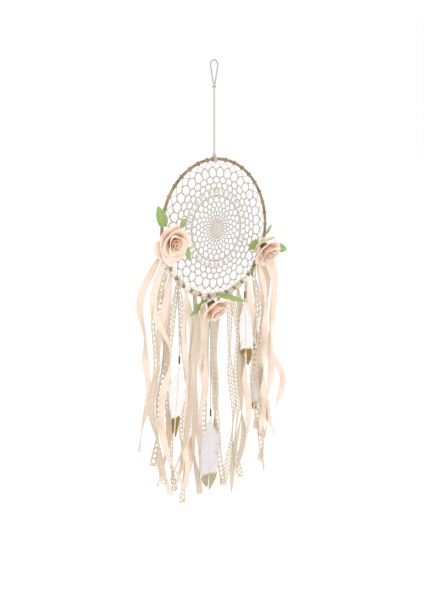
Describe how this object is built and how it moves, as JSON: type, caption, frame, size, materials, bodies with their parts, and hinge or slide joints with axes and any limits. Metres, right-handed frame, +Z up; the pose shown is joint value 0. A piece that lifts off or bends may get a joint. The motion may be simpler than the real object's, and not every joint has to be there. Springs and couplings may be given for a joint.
{
  "type": "flower dream catcher",
  "caption": "Hanging dream catcher: rod hoop with a crocheted web, cloth roses and leaves on the rim, long satin, lace and cotton tails, and feathers on strings.",
  "frame": {"origin": "inside top of the hanging loop, where a hook bears", "axes": "+Z up along the cord, hoop in the XZ plane, front with the roses towards -Y, +X to the right seen from the front"},
  "size_m": [0.285, 0.0667, 0.6572],
  "materials": {
    "cord": "matt twisted cotton",
    "rod": "satin rattan",
    "web_cotton": "matt crochet cotton",
    "satin": "satin sheen",
    "lace": "matt",
    "cotton_tape": "matt",
    "petal_cloth": "matt",
    "petal_heart": "matt",
    "leaf_cloth": "matt",
    "flower_wire": "matt paper-wrapped wire",
    "string": "matt waxed thread",
    "crimp": "dark bronze",
    "quill": "natural quill",
    "barbs": "soft feather",
    "gilt_barbs": "gilded feather, metallic"
  },
  "bodies": {
    "hanger": {"hanging_loop": "cord"},
    "knot": {"loop_knot": "cord"},
    "cord": {"hanging_cord": "cord"},
    "hoop": {"cord_hitch": "cord", "cotton_tape_1": "cotton_tape", "cotton_tape_2": "cotton_tape", "cotton_tape_3": "cotton_tape", "feather_center_fixed_string": "string", "feather_center_tie": "string", "feather_left_tie": "string", "feather_right_tie": "string", "feather_short_tie": "string", "hoop": "rod", "lace_trim_1": "lace", "lace_trim_2": "lace", "lace_trim_3": "lace", "lace_trim_4": "lace", "lace_trim_5": "lace", "lacing_loops": "web_cotton", "rose_bottom_bud": "petal_heart", "rose_bottom_calyx": "flower_wire", "rose_bottom_leaves": "leaf_cloth", "rose_bottom_petals": "petal_cloth", "rose_left_bud": "petal_heart", "rose_left_calyx": "flower_wire", "rose_left_leaves": "leaf_cloth", "rose_left_petals": "petal_cloth", "rose_right_bud": "petal_heart", "rose_right_calyx": "flower_wire", "rose_right_leaves": "leaf_cloth", "rose_right_petals": "petal_cloth", "rose_right_stem": "flower_wire", "satin_ribbon_1": "satin", "satin_ribbon_2": "satin", "satin_ribbon_3": "satin", "satin_ribbon_4": "satin", "satin_ribbon_5": "satin", "satin_ribbon_6": "satin", "satin_ribbon_7": "satin", "satin_ribbon_8": "satin", "web_doily": "web_cotton", "web_lacing": "web_cotton"},
    "feather_center": {"feather_center_string": "string", "feather_center_crimp": "crimp", "feather_center_quill": "quill", "feather_center_vanes": "barbs"},
    "feather_left": {"feather_left_string": "string", "feather_left_crimp": "crimp", "feather_left_quill": "quill", "feather_left_vanes": "barbs"},
    "feather_short": {"feather_short_string": "string", "feather_short_crimp": "crimp", "feather_short_quill": "quill", "feather_short_vanes": "gilt_barbs"},
    "feather_right": {"feather_right_string": "string", "feather_right_crimp": "crimp", "feather_right_quill": "quill", "feather_right_vanes": "barbs"}
  },
  "joints": [
    {"name": "swing_side", "type": "hinge", "parent": "hanger", "child": "knot", "pos_m": [0, 0, -0.034], "axis": [0, 1, 0], "range_deg": [-20, 20]},
    {"name": "swing_fore_aft", "type": "hinge", "parent": "knot", "child": "cord", "pos_m": [0, 0, -0.034], "axis": [1, 0, 0], "range_deg": [-20, 20]},
    {"name": "hoop_twist", "type": "hinge", "parent": "cord", "child": "hoop", "pos_m": [0, 0, -0.123], "axis": [0, 0, 1], "range_deg": [-180, 180]},
    {"name": "feather_center_swing", "type": "hinge", "parent": "hoop", "child": "feather_center", "pos_m": [-0.011, -0.004, -0.35876], "axis": [-1, 0, 0], "range_deg": [0, 25]},
    {"name": "feather_left_swing", "type": "hinge", "parent": "hoop", "child": "feather_left", "pos_m": [-0.07111, -0.0069, -0.29006], "axis": [-1, 0, 0], "range_deg": [0, 25]},
    {"name": "feather_short_swing", "type": "hinge", "parent": "hoop", "child": "feather_short", "pos_m": [0.0545, -0.0069, -0.3122], "axis": [-1, 0, 0], "range_deg": [0, 25]},
    {"name": "feather_right_swing", "type": "hinge", "parent": "hoop", "child": "feather_right", "pos_m": [0.08965, 0.0069, -0.276], "axis": [1, 0, 0], "range_deg": [0, 25]}
  ]
}
